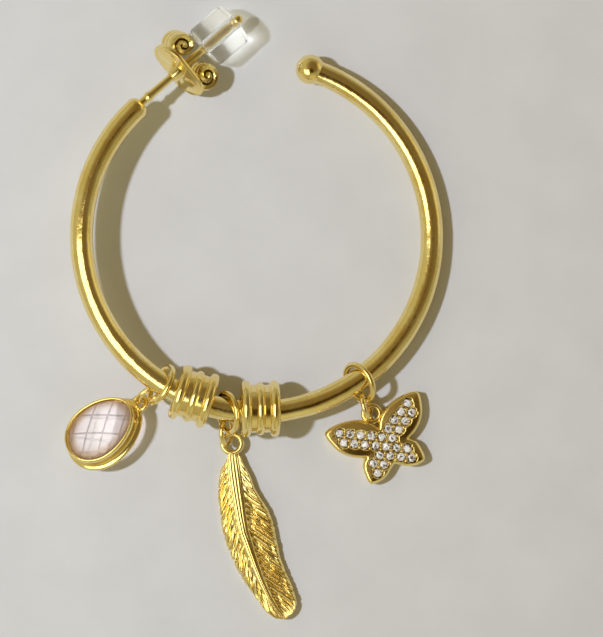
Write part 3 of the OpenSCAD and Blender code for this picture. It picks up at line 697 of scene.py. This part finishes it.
def feather_point(u, v):
    """u runs down the feather, v from its left edge to its right one."""
    v = 2 * v - 1
    side = abs(v)
    lead = 0.20 * side * (1 - math.exp(-3.5 * (1 - u))) / 0.97 * (1 - math.exp(-u / 0.05))
    share = NECK + (1 - NECK) * min(u + lead, 1)
    left, quill, right, shaft = [np.interp(share, FEATHER_ROWS[:, 0], FEATHER_ROWS[:, k])
                                 for k in (1, 2, 3, 4)]
    # the barbs run down and outwards, steeper than the sheet's own rows
    down = (share - NECK) / (1 - NECK) - SLANT * side ** 0.9
    beat = down * BARBS + 0.25 * math.sin(21 * down + (2 if v < 0 else 0)) + 20
    turn_of = beat % 1
    which = int(beat) + (50 if v < 0 else 0)
    # the vane's edge is nicked between some of the barbs
    nick = math.exp(-((turn_of - 0.5) / 0.16) ** 2) * max(0, scatter(which) - 0.35)
    nick *= (0.22 if v < 0 else 0.12) * min(1, u * 6) * min(1, (1 - u) * 5)
    edge = (left if v < 0 else right) * (1 - nick * side ** 4)
    y = FEATHER_W * (quill + side * (edge - quill))
    # distance from the quill as a share of the quill's own half width
    from_quill = side * abs(edge - quill) / (shaft / 2)
    if from_quill < 1:
        dome = math.sqrt(1 - from_quill ** 2)
        lines = 0.05 * math.exp(-((from_quill - 0.25) / 0.12) ** 2)
        lines += 0.03 * math.exp(-((from_quill - 0.68) / 0.10) ** 2)
        lean = 0.05 * from_quill * (1 if v < 0 else -1)
        return FEATHER_L * share, y, QUILL_Z + 0.10 * dome + lean - lines * (1 - 0.5 * u)
    fine = 0.5 + 0.5 * math.cos(2 * math.pi * (3 * turn_of + 0.4 * scatter(which + 9)))
    reach = min(1, (from_quill - 1) * 1.4)
    if v > 0:
        # long rounded barbs with narrow gaps, each of its own height and length
        deep = (0.05 + 0.19 * min(1, max(0, u - 0.10) * 5)) * min(1, max(0, 0.97 - u) * 8)
        ends = 0.6 + 0.6 * scatter(which + 3)
        from_crest = (turn_of - 0.5) / (0.36 + 0.13 * scatter(which + 1))
        rib = math.sqrt(max(0, 1 - from_crest ** 2)) * (0.72 + 0.28 * scatter(which + 6))
        rib *= 1 - 0.6 * smooth(side, ends - 0.12, ends + 0.12)
        notch = math.exp(-((side - 0.15 - 0.75 * scatter(which + 5)) / 0.05) ** 2)
        sunk = deep * (1 - rib * (1 - 0.7 * notch)) + 0.015 * (1 - fine)
        vane_z = RIGHT_Z + 0.16 * side
    else:
        # short broken scale-like strokes, which give way to a smooth split tip
        calm = min(1, max(0, 0.84 - u) * 9)
        rib = 0.5 + 0.5 * math.cos(2 * math.pi * (turn_of - 0.5))
        tiles = 1.9 * side + 0.37 * which + 0.8 * scatter(which)
        tile = 0.5 + 0.5 * math.cos(2 * math.pi * tiles)
        gaps = (1 - rib ** 0.7) * (0.5 + 0.5 * scatter(which + 7))
        sunk = calm * (0.23 * gaps + 0.13 * tile * rib + 0.015 * (1 - fine))
        split = math.exp(-((turn_of - 0.5) / 0.09) ** 2) * (which % 2)
        sunk += (1 - calm) * 0.16 * split * side
        vane_z = LEFT_Z - (0.24 - 0.15 * smooth(u, 0.72, 0.88)) * side ** 2
    round_off = 0.24 * max(0, side - 0.88) ** 2 / 0.12 ** 2
    return FEATHER_L * share, y, vane_z - sunk * reach - round_off


def flat_backed(sheet):
    """Draws a sheet that stands above the surface down to a flat back."""
    edit(sheet)
    draw_out((0, 0, -2 * MM))
    bpy.ops.transform.resize(value=(1, 1, 0), center_override=(0, 0, 0))
    bpy.ops.object.mode_set(mode="OBJECT")
    closed_up(sheet, weld=0.0004)
    return sheet


vane = put(flat_backed(bent_grid(420, 96, feather_point)), feather_place)
feather_loop = put(wire_ring(2.35, 0.52), feather_place @ shift(0, 0, 0.9))
feather_gold = gold_finish("feather_gold", ripple=0.02, rough=0.16)
finished(joined([vane, feather_loop]), "feather_charm_gold", "earring",
         "feather_charm", feather_gold, 60)


# The butterfly's setting: a cast plate with a polished raised rim, a sunk field with a seat
# for each stone, small raised beads of metal that hold the stones, and a loop at its head.
butterfly_place = shift(11.2257, -9.6518, 0) @ turn(294.2, "Z")
SPAN, LENGTH, THICK, RIM_W, SUNK = 10.0, 6.8, 1.5, 0.36, 0.35
PITCH, ROW, STONE_D, GRIP_R = 1.0, 0.9, 0.86, 0.19
# corners of half the outline and, between two corners, the point the curve bends towards
WING = ((0.22, 0), (0.06, 0.10), (0.0, 0.30), (-0.07, 0.55), (-0.058, 0.80), (-0.05, 0.98),
        (0.01, 1.0), (0.08, 1.0), (0.155, 0.965), (0.42, 0.88), (0.538, 0.46), (0.60, 0.60),
        (0.74, 0.60), (0.90, 0.625), (0.92, 0.54), (0.95, 0.32), (0.865, 0.16), (0.81, 0.07),
        (0.785, 0))
# rows of stones: number from the middle, first stone's step along the row, stones
STONE_ROWS = ((0, 0, 3), (1, -0.5, 4), (2, -1, 2), (2, 2, 2), (3, -1.5, 2), (4, -2, 2))


def wing_outline(steps):
    """The butterfly's whole outline as points, in mm."""
    half = []
    for k in range(0, len(WING) - 2, 2):
        a, c, b = (np.array(WING[k + j]) for j in range(3))
        for t in np.arange(steps) / steps:
            half.append((1 - t) ** 2 * a + 2 * t * (1 - t) * c + t * t * b)
    half.append(np.array(WING[-1]))
    half = np.array(half) * (LENGTH, SPAN / 2)
    return np.vstack([half, half[-2:0:-1] * (1, -1)])


outline = wing_outline(12)
stones_at = [(LENGTH * 0.365 + (first + k) * PITCH, side * row * ROW)
             for row, first, count in STONE_ROWS for k in range(count)
             for side in ((1,) if row == 0 else (-1, 1))]


def inside_depth(points):
    """Distance of each point from the outline, positive inside, and the nearest outline point."""
    a, b = outline, np.roll(outline, -1, axis=0)
    ab = b - a
    t = np.clip(((points[:, None] - a) * ab).sum(2) / (ab ** 2).sum(1), 0, 1)
    foot = a + t[..., None] * ab
    gap = np.linalg.norm(points[:, None] - foot, axis=2)
    best = gap.argmin(1)
    x, y = points[:, 0][:, None], points[:, 1][:, None]
    crosses = ((a[:, 1] > y) != (b[:, 1] > y)) & (
        x < (b[:, 0] - a[:, 0]) * (y - a[:, 1]) / (b[:, 1] - a[:, 1] + 1e-12) + a[:, 0])
    inner = crosses.sum(1) % 2 == 1
    pick = np.arange(len(points))
    return np.where(inner, 1, -1) * gap[pick, best], foot[pick, best]


def setting_height(points, depth):
    """Height of the setting's face: polished rim, sunk tray, seats and holding beads."""
    tray = THICK - SUNK
    gap = np.linalg.norm(points[:, None] - np.array(stones_at), axis=2)
    near = gap.min(1)
    # the tray's wall keeps a little outside the stones, and is smooth past the gaps between them
    field_edge = -np.log(np.exp(-gap * 7).sum(1)) / 7
    z = tray + (SUNK - 0.02) * smooth(field_edge, 0.40, 0.58)
    z = np.where(depth < RIM_W * 0.8, tray + SUNK - 0.02, z)
    z -= 0.24 * np.clip(1 - depth / 0.30, 0, 1) ** 2.2 + 0.09 * np.clip(1 - depth / 0.9, 0, 1)
    seat = 0.32 * (1 - smooth(near, STONE_D * 0.30, STONE_D * 0.53))
    z = np.where(near < STONE_D * 0.53, np.minimum(z, tray) - seat, z)
    # a holding bead stands where three stones meet, and on the open ground beside one
    for x, y in grip_beads():
        from_bead = np.hypot(points[:, 0] - x, points[:, 1] - y)
        dome = tray + 0.06 + 0.24 * np.sqrt(np.clip(1 - (from_bead / GRIP_R) ** 2, 0, 1))
        z = np.where((from_bead < GRIP_R) & (depth > RIM_W * 0.8), np.maximum(z, dome), z)
    return z


def grip_beads():
    """The holding beads' places: round each stone, clear of the others and of the rim."""
    around = ((0.5, 0.33), (0.5, -0.33), (-0.5, 0.33), (-0.5, -0.33), (0, 0.58), (0, -0.58))
    places = np.array(stones_at)
    spots = set()
    for x, y in stones_at:
        for dx, dy in around:
            spot = np.array((x + dx * PITCH, y + dy * ROW))
            clear = np.linalg.norm(places - spot, axis=1).min()
            inside, _ = inside_depth(spot[None])
            if clear > 0.46 and inside[0] > RIM_W + 0.06:
                spots.add((round(spot[0], 2), round(spot[1], 2)))
    kept = []
    for spot in sorted(spots):
        if all(math.dist(spot, other) > 0.22 for other in kept):
            kept.append(spot)
    return kept


STEP = 0.048
across, along = round((SPAN + 0.4) / STEP), round((LENGTH + 1.4) / STEP)
field = bent_grid(along, across, lambda u, v: (-0.9 + u * along * STEP,
                                               -SPAN / 2 - 0.2 + v * across * STEP, 0))
points = np.array([vertex.co[:2] for vertex in field.data.vertices]) / MM
depth, _ = inside_depth(points)
edit(field)
pick(field, "faces", lambda face: min(depth[x.index] for x in face.verts) < -0.3 * STEP)
bpy.ops.mesh.delete(type="FACE")
bpy.ops.object.mode_set(mode="OBJECT")
# the cut-out sheet's ragged border is drawn onto the outline
bm = bmesh.new()
bm.from_mesh(field.data)
_, foot = inside_depth(np.array([vertex.co[:2] for vertex in bm.verts]) / MM)
for vertex, (x, y) in zip(bm.verts, foot):
    if vertex.is_boundary:
        vertex.co = (x * MM, y * MM, 0)
bm.to_mesh(field.data)
bm.free()
points = np.array([vertex.co[:2] for vertex in field.data.vertices]) / MM
depth, _ = inside_depth(points)
for vertex, z in zip(field.data.vertices, setting_height(points, np.maximum(depth, 0))):
    vertex.co.z = z * MM
put(flat_backed(field), butterfly_place)
butterfly_loop = put(wire_ring(2.1, 0.5), butterfly_place @ shift(0, 0, 0.88))
butterfly_gold = gold_finish("butterfly_gold", ripple=0.02)
finished(joined([field, butterfly_loop]), "butterfly_setting_gold", "earring",
         "butterfly_setting", butterfly_gold, 45)


# The butterfly's stones: small round clear stones with silvered backs, each cut with a flat
# table, a ring of kite facets and a pointed pavilion, and turned its own way in its seat.
def painted_flash_finish(name):
    """The look of a clear stone over a silvered back: its faces are painted dark or white by
    their tone, as painted flashes of reflected light, under a clear coat.
    """
    finish = bpy.data.materials.new(name)
    finish.use_nodes = True
    nodes, links = finish.node_tree.nodes, finish.node_tree.links
    stone = nodes["Principled BSDF"]
    stone.inputs["Metallic"].default_value = 0.08
    stone.inputs["Coat Weight"].default_value = 1.0
    stone.inputs["Coat Roughness"].default_value = 0.02
    place = nodes.new("ShaderNodeTexCoord")
    # dark or white faces: painted flashes of reflected light
    painted_flash = nodes.new("ShaderNodeAttribute")
    painted_flash.attribute_name = "tone"
    body = nodes.new("ShaderNodeValToRGB")
    body.color_ramp.elements[0].position = 0.22
    body.color_ramp.elements[0].color = (0.20, 0.15, 0.12, 1)
    body.color_ramp.elements[1].position = 0.40
    body.color_ramp.elements[1].color = (1.0, 0.99, 0.98, 1)
    haze = nodes.new("ShaderNodeTexNoise")
    haze.inputs["Scale"].default_value = 2500
    polish = nodes.new("ShaderNodeMapRange")
    polish.inputs["To Min"].default_value = 0.03
    polish.inputs["To Max"].default_value = 0.12
    links.new(place.outputs["Object"], haze.inputs["Vector"])
    links.new(painted_flash.outputs["Fac"], body.inputs["Fac"])
    links.new(haze.outputs["Fac"], polish.inputs["Value"])
    links.new(body.outputs["Color"], stone.inputs["Base Color"])
    links.new(polish.outputs["Result"], stone.inputs["Roughness"])
    return finish


def cut_stone(d):
    """A round stone, its girdle at height 0; d in mm."""
    piece = turned([(d * 0.26, d * 0.26), (d * 0.38, d * 0.20), (d * 0.5, d * 0.06),
                    (d * 0.5, 0), (d * 0.28, -d * 0.2), (0.002, -d * 0.36)], 8)
    edit(piece)
    # two rows are turned by half a facet, so that they cut into kites, and the table is closed
    pick(piece, "verts", lambda vertex: abs(abs(vertex.co.z) - d * 0.20 * MM) < 1e-6)
    bpy.ops.transform.rotate(value=math.radians(22.5), orient_axis="Z", center_override=(0, 0, 0))
    pick(piece, "edges", lambda edge: edge.is_boundary)
    bpy.ops.mesh.fill_holes(sides=0)
    bpy.ops.mesh.select_all(action="SELECT")
    bpy.ops.mesh.quads_convert_to_tris()
    bpy.ops.object.mode_set(mode="OBJECT")
    closed_up(piece)
    return piece


pattern = cut_stone(STONE_D)
placed = []
for k, (x, y) in enumerate(stones_at):
    copy = bpy.data.objects.new("stone", pattern.data.copy())
    bpy.context.collection.objects.link(copy)
    tip = turn(9 * math.sin(2.1 * k), "X") @ turn(9 * math.cos(3.7 * k), "Y")
    put(copy, butterfly_place @ shift(x, y, 1.19) @ tip @ turn(17.0 * k, "Z"))
    placed.append(copy)
bpy.data.objects.remove(pattern)
# each face of the stones gets a painted flash at random, dark or white
give_painted_light(joined(placed), lambda k, face: scatter(k))
finished(placed[0], "butterfly_stones_clear", "earring", "butterfly_stones",
         painted_flash_finish("painted_flash_stone"), 0)


# The clutch's nut: a pressed plate with two lens-shaped lobes, a collar that guides the post,
# and behind it two ribbed strips rolled up against the post on either side.
clutch_gold = gold_finish("clutch_gold", ripple=0.02, rough=0.15)
CLUTCH_AT, ROLL, PLATE_LEAN, SCROLL_LEAN = 4.8, 24, 20, 6
clutch_place = on_post(CLUTCH_AT) @ turn(ROLL - 90, "Z")
# the plate's end radius and how far from the post its ends' middles are; the post's hole
PLATE_R, PLATE_REACH, HOLE_R = 2.0, 1.2, 0.52


def plate_edge(u, inset):
    """A point of the plate's long rounded outline, drawn in by an inset."""
    r = PLATE_R - inset
    lap = u * 4 % 4
    if lap < 1:
        return r, -PLATE_REACH + 2 * PLATE_REACH * lap
    if lap < 2:
        a = math.pi * (lap - 1)
        return r * math.cos(a), PLATE_REACH + r * math.sin(a)
    if lap < 3:
        return -r, PLATE_REACH - 2 * PLATE_REACH * (lap - 2)
    a = math.pi * (lap - 3)
    return -r * math.cos(a), -PLATE_REACH - r * math.sin(a)


# inset from the outline and height, from the middle of the back round the edge to the front's
plate_rows = [(1.9, 0.2), (1.2, 0.2), (0.5, 0.2), (0.08, 0.2), (0.02, 0.17), (0.0, 0.1),
              (0.0, -0.1), (0.02, -0.17)] + [(0.06 + 0.092 * k, -0.2) for k in range(21)]


def plate_point(u, v):
    """u runs round the plate, v over its edge; two lens-shaped lobes stand out of the front."""
    inset, z = plate_rows[round(v * (len(plate_rows) - 1))]
    x, y = plate_edge(u, inset)
    if z < -0.19:
        lens = math.hypot(x / 1.3, (abs(y) - 1.85) / 1.0)
        z -= 0.13 * max(0, 1 - lens * lens)
        z += 0.09 * math.exp(-((lens - 1.05) / 0.10) ** 2) * (1 if inset > 0.15 else inset / 0.15)
    return x, y, z


plate = bent_grid(128, len(plate_rows) - 1, plate_point)
edit(plate)
bpy.ops.mesh.remove_doubles(threshold=0.002 * MM)
pick(plate, "edges", lambda edge: edge.is_boundary)
bpy.ops.mesh.fill_holes(sides=0)
bpy.ops.object.mode_set(mode="OBJECT")
closed_up(plate)
put(plate, turn(PLATE_LEAN, "Y"))
bpy.ops.object.select_all(action="DESELECT")
bpy.ops.mesh.primitive_cylinder_add(vertices=48, radius=HOLE_R * MM, depth=6 * MM)
drill = bpy.context.object
hole = plate.modifiers.new("hole", "BOOLEAN")
hole.object = drill
hole.solver = "EXACT"
select(plate)
bpy.ops.object.modifier_apply(modifier="hole")
bpy.data.objects.remove(drill)

collar = turned([(0.55, 0.2), (0.86, 0.2), (0.85, 0.0), (0.71, -0.86), (0.69, -0.92),
                 (0.65, -0.95), (0.57, -0.95), (0.53, -0.92), (HOLE_R, -0.86), (HOLE_R, 0.15),
                 (0.55, 0.2)], 48)


def scroll():
    """One strip, rolled up in four half turns, each narrower than the last."""
    width, ribs, outer, step, wall_t = 2.4, 3, 1.35, 0.31, 0.44
    strip = bent_grid(40, 1, lambda u, v: (0, v, width * (u - 0.5)))
    # one long edge of the sheet is kept, ribbed and spun
    edit(strip)
    bpy.ops.mesh.delete(type="ONLY_FACE")
    pick(strip, "verts", lambda vertex: vertex.co.y > 0.5 * MM)
    bpy.ops.mesh.delete(type="VERT")
    bpy.ops.object.mode_set(mode="OBJECT")
    start = math.radians(-70)
    for vertex in strip.data.vertices:
        share = vertex.co.z / (width * MM) + 0.5
        rib = 0.5 - 0.5 * math.cos(2 * math.pi * ribs * share)
        r = outer - 0.38 + 0.16 * rib ** 0.7
        vertex.co.x, vertex.co.y = r * math.cos(start) * MM, r * math.sin(start) * MM
    edit(strip)
    middle = Vector((0, 0, 0))
    for k in range(4):
        if k:
            way = start + math.pi * k
            middle = middle + Vector((math.cos(way), math.sin(way), 0)) * step
        bpy.ops.mesh.spin(steps=26 - 4 * k, angle=math.pi, center=middle * MM, axis=(0, 0, -1))
    bpy.ops.object.mode_set(mode="OBJECT")
    closed_up(strip)
    wall = strip.modifiers.new("wall", "SOLIDIFY")
    wall.thickness = wall_t * MM
    wall.offset = 0
    bpy.ops.object.modifier_apply(modifier="wall")
    bevelled(strip, 0.16, angle=50, segments=3)
    closed_up(strip)
    return strip


rolled = []
for side in (1, -1):
    strip = put(scroll(), turn(90, "Z") @ turn(90, "X"))
    strip = put(strip, shift(0, 2.0, 1.45))
    if side < 0:
        strip = put(strip, Matrix.Diagonal((1, -1, 1, 1)))
        closed_up(strip)
    rolled.append(put(strip, turn(SCROLL_LEAN, "Y")))
nut = put(joined([plate, collar] + rolled), clutch_place)
finished(nut, "clutch_nut_gold", "clutch", "clutch_nut", clutch_gold, 45)


# The clutch's tube: a short sleeve of clear plastic, moulded with rounded ends and a bore for the
# post, and pushed on behind the nut.
TUBE_R, TUBE_L, TUBE_ROUND, TUBE_AT = 2.2, 4.0, 0.45, 7.9454
flat_r = TUBE_R - TUBE_ROUND
tube_rows = [(0.56, 0.0), (flat_r, 0.0)]
tube_rows += [(flat_r + TUBE_ROUND * math.sin(a), TUBE_ROUND - TUBE_ROUND * math.cos(a))
              for a in [math.radians(11.25 * k) for k in range(1, 9)]]
tube_rows += [(flat_r + TUBE_ROUND * math.cos(a), TUBE_L - TUBE_ROUND + TUBE_ROUND * math.sin(a))
              for a in [math.radians(11.25 * k) for k in range(0, 9)]]
tube_rows += [(0.56, TUBE_L), (HOLE_R, TUBE_L - 0.05), (HOLE_R, 0.05), (0.56, 0.0)]
tube = put(turned(tube_rows, 96), on_post(TUBE_AT))
plastic = clear_finish("clear_plastic", (0.98, 0.985, 0.975), 1.33, 0.06, (0.66, 0.65, 0.59),
                       milk=0.05)
finished(tube, "clutch_tube_clear", "clutch", "clutch_tube", plastic, 40)
